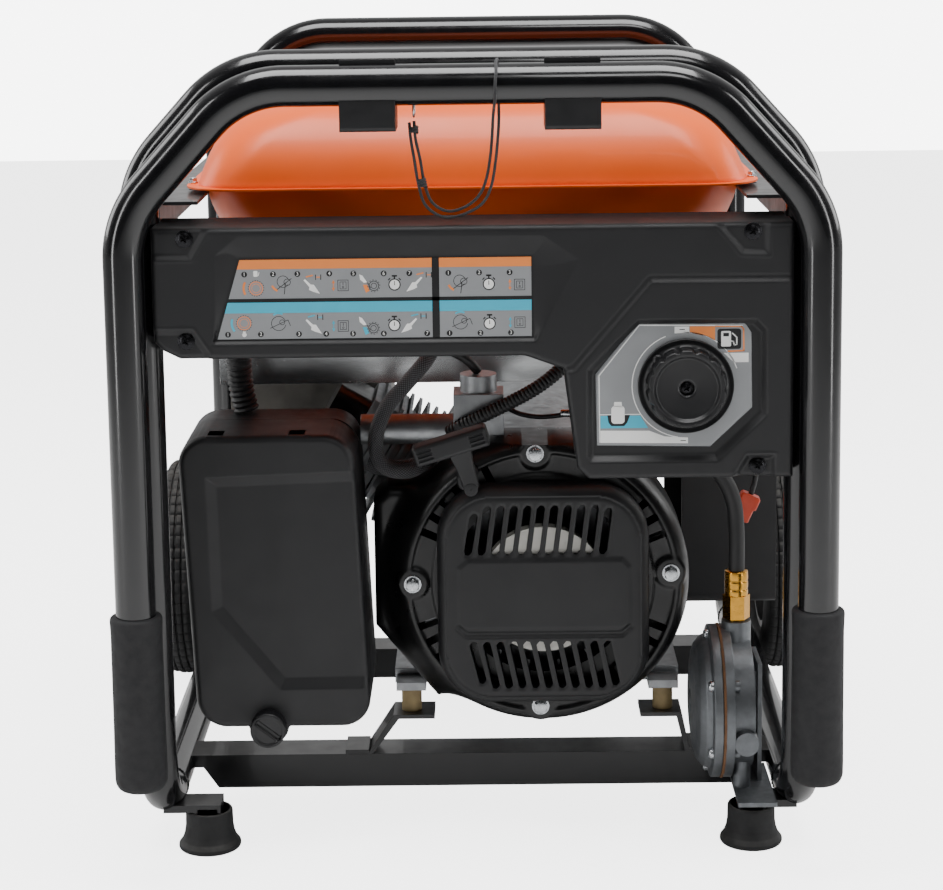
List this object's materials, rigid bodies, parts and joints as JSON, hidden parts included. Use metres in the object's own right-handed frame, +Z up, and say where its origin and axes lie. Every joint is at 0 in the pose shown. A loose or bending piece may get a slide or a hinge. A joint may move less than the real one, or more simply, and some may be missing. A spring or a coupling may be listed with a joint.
{
  "type": "portable generator",
  "caption": "Open-frame portable generator with a folding U handle, orange tank, moulded end panel with fuel selector, recoil engine, gas regulator and wheels.",
  "frame": {"origin": "floor level at the centre of the footprint", "axes": "+Z up, +Y from the handle end to the wheels, +X to the socket side"},
  "size_m": [0.706, 0.7409, 0.73],
  "materials": {
    "black_steel": "gloss black powder coat",
    "rubber_black": "matte moulded rubber",
    "grip_rubber": "matte foam rubber",
    "tyre_rubber": "ribbed solid tyre",
    "tank_paint": "gloss orange paint on pressed steel",
    "panel_plastic": "moulded charcoal plastic",
    "black_plastic": "moulded black plastic",
    "zinc_steel": "bright zinc plate",
    "steel": "ground steel",
    "cast_alloy": "die-cast aluminium",
    "sheet_alloy": "rolled sheet",
    "cord": "braided cord",
    "label_film": "printed film",
    "copper": "lacquered windings",
    "brass": "machined brass",
    "paper": "pleated filter",
    "mount_rubber": "tan isolator",
    "white_plastic": "white moulded plastic",
    "red_plastic": "red rocker"
  },
  "bodies": {
    "root": {"front_hoop": "black_steel", "rear_hoop": "black_steel", "bottom_rails": "black_steel", "foot_legs": "black_steel", "rubber_feet": "rubber_black", "cross_members": "black_steel", "engine_mounts": "black_steel", "isolators": "mount_rubber", "axles": "steel", "handle_saddles": "black_plastic", "lock_pin": "zinc_steel", "lanyard": "cord", "tank_rails": "black_steel", "tank_lower": "tank_paint", "tank_upper": "tank_paint", "front_panel": "panel_plastic", "fasteners": "zinc_steel", "instruction_label": "label_film", "selector_plate": "label_film", "selector_valve": "cast_alloy", "crankcase": "cast_alloy", "barrel": "cast_alloy", "cylinder_head": "cast_alloy", "valve_cover": "black_plastic", "fan_housing": "black_plastic", "recoil_cover": "panel_plastic", "rope_guide": "black_plastic", "carburettor": "cast_alloy", "air_cleaner_base": "black_plastic", "air_filter": "paper", "muffler": "steel", "heat_shield": "sheet_alloy", "alternator_housing": "cast_alloy", "stator": "copper", "end_cover": "black_plastic", "control_panel": "panel_plastic", "outlets": "white_plastic", "regulator_cover": "cast_alloy", "regulator_body": "cast_alloy", "brass_fitting": "brass", "hoses": "rubber_black"},
    "handle": {"handle_tube": "black_steel", "handle_grips": "grip_rubber"},
    "selector": {"selector_knob": "black_plastic"},
    "fuel_cap": {"fuel_cap": "black_plastic"},
    "pull": {"pull_handle": "black_plastic"},
    "pulley": {"recoil_pulley": "white_plastic"},
    "crank": {"crankshaft": "steel", "flywheel": "cast_alloy", "rotor": "steel"},
    "air_cover": {"air_cleaner_cover": "black_plastic"},
    "air_knob": {"air_knob": "black_plastic"},
    "wheel_left": {"tyre_left": "tyre_rubber", "rim_left": "black_plastic"},
    "wheel_right": {"tyre_right": "tyre_rubber", "rim_right": "black_plastic"},
    "flap_a": {"outlet_cover_a": "black_plastic"},
    "flap_b": {"outlet_cover_b": "black_plastic"},
    "switch": {"rocker_switch": "red_plastic"},
    "breaker": {"breaker_button": "white_plastic"}
  },
  "joints": [
    {"name": "handle_fold", "type": "hinge", "parent": "root", "child": "handle", "pos_m": [0, -0.3475, 0.7015], "axis": [-1, 0, 0], "range_deg": [0, 90]},
    {"name": "selector_turn", "type": "hinge", "parent": "root", "child": "selector", "pos_m": [0.181, -0.36, 0.442], "axis": [0, -1, 0], "range_deg": [-36, 144]},
    {"name": "fuel_cap_lift", "type": "slide", "parent": "root", "child": "fuel_cap", "axis": [0, 0, 1], "range_m": [0, 0.06]},
    {"name": "recoil_pull", "type": "slide", "parent": "root", "child": "pull", "axis": [0, -1, 0], "range_m": [0, 0.5], "stiffness_N_per_m": 15},
    {"name": "pulley_spin", "type": "hinge", "parent": "root", "child": "pulley", "pos_m": [0.06, -0.25, 0.238], "axis": [0, -1, 0], "range_deg": [0, 600]},
    {"name": "crank_spin", "type": "hinge", "parent": "root", "child": "crank", "pos_m": [0.06, 0, 0.238], "axis": [0, 1, 0], "continuous": true},
    {"name": "air_cover_off", "type": "slide", "parent": "root", "child": "air_cover", "axis": [0, -1, 0], "range_m": [0, 0.06]},
    {"name": "air_knob_turn", "type": "hinge", "parent": "air_cover", "child": "air_knob", "pos_m": [-0.189, -0.29, 0.121], "axis": [0, -1, 0], "range_deg": [0, 180]},
    {"name": "wheel_left_spin", "type": "hinge", "parent": "root", "child": "wheel_left", "pos_m": [-0.33, 0.25, 0.1205], "axis": [1, 0, 0], "continuous": true},
    {"name": "wheel_right_spin", "type": "hinge", "parent": "root", "child": "wheel_right", "pos_m": [0.33, 0.25, 0.1205], "axis": [1, 0, 0], "continuous": true},
    {"name": "flap_a_lift", "type": "hinge", "parent": "root", "child": "flap_a", "pos_m": [0.3035, 0.04, 0.415], "axis": [0, -1, 0], "range_deg": [0, 110]},
    {"name": "flap_b_lift", "type": "hinge", "parent": "root", "child": "flap_b", "pos_m": [0.3035, 0.11, 0.415], "axis": [0, -1, 0], "range_deg": [0, 110]},
    {"name": "switch_rock", "type": "hinge", "parent": "root", "child": "switch", "pos_m": [0.295, 0.18, 0.416], "axis": [0, 1, 0], "range_deg": [0, 20]},
    {"name": "breaker_push", "type": "slide", "parent": "root", "child": "breaker", "axis": [-1, 0, 0], "range_m": [0, 0.003], "stiffness_N_per_m": 400}
  ],
  "couplings": [
    {"joint": "pulley_spin", "follows": "recoil_pull", "rad_per_m": 20}
  ]
}
